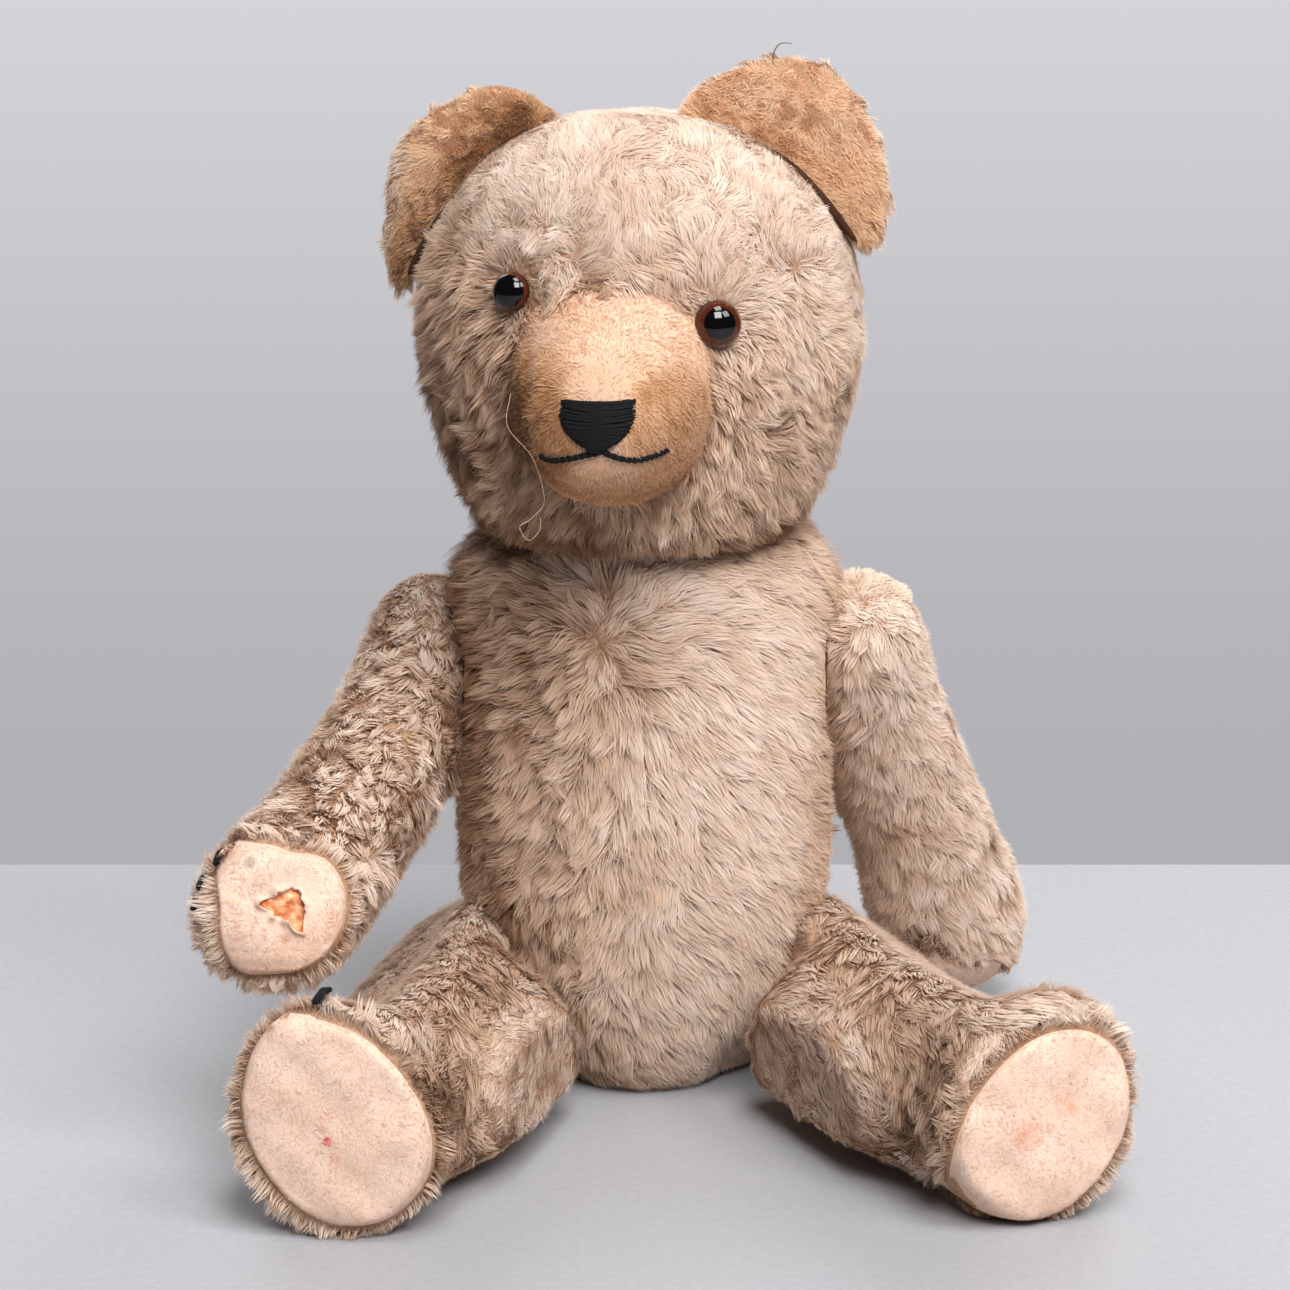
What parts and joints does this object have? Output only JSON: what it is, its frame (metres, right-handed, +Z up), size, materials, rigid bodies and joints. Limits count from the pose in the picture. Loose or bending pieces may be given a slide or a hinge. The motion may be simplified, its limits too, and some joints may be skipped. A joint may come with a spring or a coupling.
{
  "type": "teddy bear",
  "caption": "Worn seated mohair teddy bear with disc-jointed head, arms and legs, felt pads, glass eyes and a stitched nose.",
  "frame": {"origin": "middle of the flat seat under the torso, on the surface that the bear sits on", "axes": "+Z up, the bear faces -Y, +X is the bear's own left"},
  "size_m": [0.243, 0.2098, 0.2822],
  "materials": {
    "mohair": "worn curly pile, matted, in taupe and beige",
    "tan_plush": "short clipped plush, rubbed and soiled",
    "felt": "matte wool felt, pilled and stained",
    "glass_eye": "polished, black pupil in an amber iris",
    "black_thread": "stranded embroidery thread",
    "wood_wool": "packed fine shavings",
    "hardboard": "matte pressed board",
    "steel": "dull, lightly tarnished"
  },
  "bodies": {
    "torso": {"hip_left_cotter_pin": "steel", "hip_left_disc_inner": "hardboard", "hip_left_washer_inner": "steel", "hip_right_cotter_pin": "steel", "hip_right_disc_inner": "hardboard", "hip_right_washer_inner": "steel", "neck_cotter_pin": "steel", "neck_disc_inner": "hardboard", "neck_washer_inner": "steel", "shoulder_left_cotter_pin": "steel", "shoulder_left_disc_inner": "hardboard", "shoulder_left_washer_inner": "steel", "shoulder_right_cotter_pin": "steel", "shoulder_right_disc_inner": "hardboard", "shoulder_right_washer_inner": "steel", "torso_skin": "mohair", "torso_stuffing": "wood_wool"},
    "head": {"ear_left_back": "mohair", "ear_left_lining": "tan_plush", "ear_right_back": "mohair", "ear_right_lining": "tan_plush", "eye_left": "glass_eye", "eye_left_shank": "steel", "eye_right": "glass_eye", "eye_right_shank": "steel", "head_skin": "mohair", "head_stuffing": "wood_wool", "mouth_embroidery": "black_thread", "muzzle": "tan_plush", "neck_disc_outer": "hardboard", "neck_washer_outer": "steel", "nose_embroidery": "black_thread"},
    "arm_left": {"arm_left_skin": "mohair", "arm_left_stuffing": "wood_wool", "paw_pad_left": "felt", "shoulder_left_disc_outer": "hardboard", "shoulder_left_washer_outer": "steel"},
    "arm_right": {"arm_right_skin": "mohair", "arm_right_stuffing": "wood_wool", "paw_claw_right_1": "black_thread", "paw_claw_right_2": "black_thread", "paw_claw_right_3": "black_thread", "paw_pad_right": "felt", "shoulder_right_disc_outer": "hardboard", "shoulder_right_washer_outer": "steel"},
    "leg_left": {"foot_claw_left_1": "black_thread", "foot_pad_left": "felt", "hip_left_disc_outer": "hardboard", "hip_left_washer_outer": "steel", "leg_left_skin": "mohair", "leg_left_stuffing": "wood_wool"},
    "leg_right": {"foot_claw_right_1": "black_thread", "foot_pad_right": "felt", "hip_right_disc_outer": "hardboard", "hip_right_washer_outer": "steel", "leg_right_skin": "mohair", "leg_right_stuffing": "wood_wool"}
  },
  "joints": [
    {"name": "neck_turn", "type": "hinge", "parent": "torso", "child": "head", "pos_m": [0, 0, 0.157], "axis": [0, 0, 1], "continuous": true},
    {"name": "hip_left_swing", "type": "hinge", "parent": "torso", "child": "leg_left", "pos_m": [0.029, 0.004, 0.027], "axis": [-0.9443, -0.2797, 0.1736], "range_deg": [-90, 0]},
    {"name": "hip_right_swing", "type": "hinge", "parent": "torso", "child": "leg_right", "pos_m": [-0.029, 0.004, 0.027], "axis": [-0.9764, 0.1285, -0.1736], "range_deg": [-90, 0]},
    {"name": "shoulder_left_swing", "type": "hinge", "parent": "torso", "child": "arm_left", "pos_m": [0.05, 0.003, 0.113], "axis": [-1, 0, 0], "range_deg": [-270, 0]},
    {"name": "shoulder_right_swing", "type": "hinge", "parent": "torso", "child": "arm_right", "pos_m": [-0.05, 0.003, 0.113], "axis": [-1, 0, 0], "range_deg": [0, 230]}
  ]
}
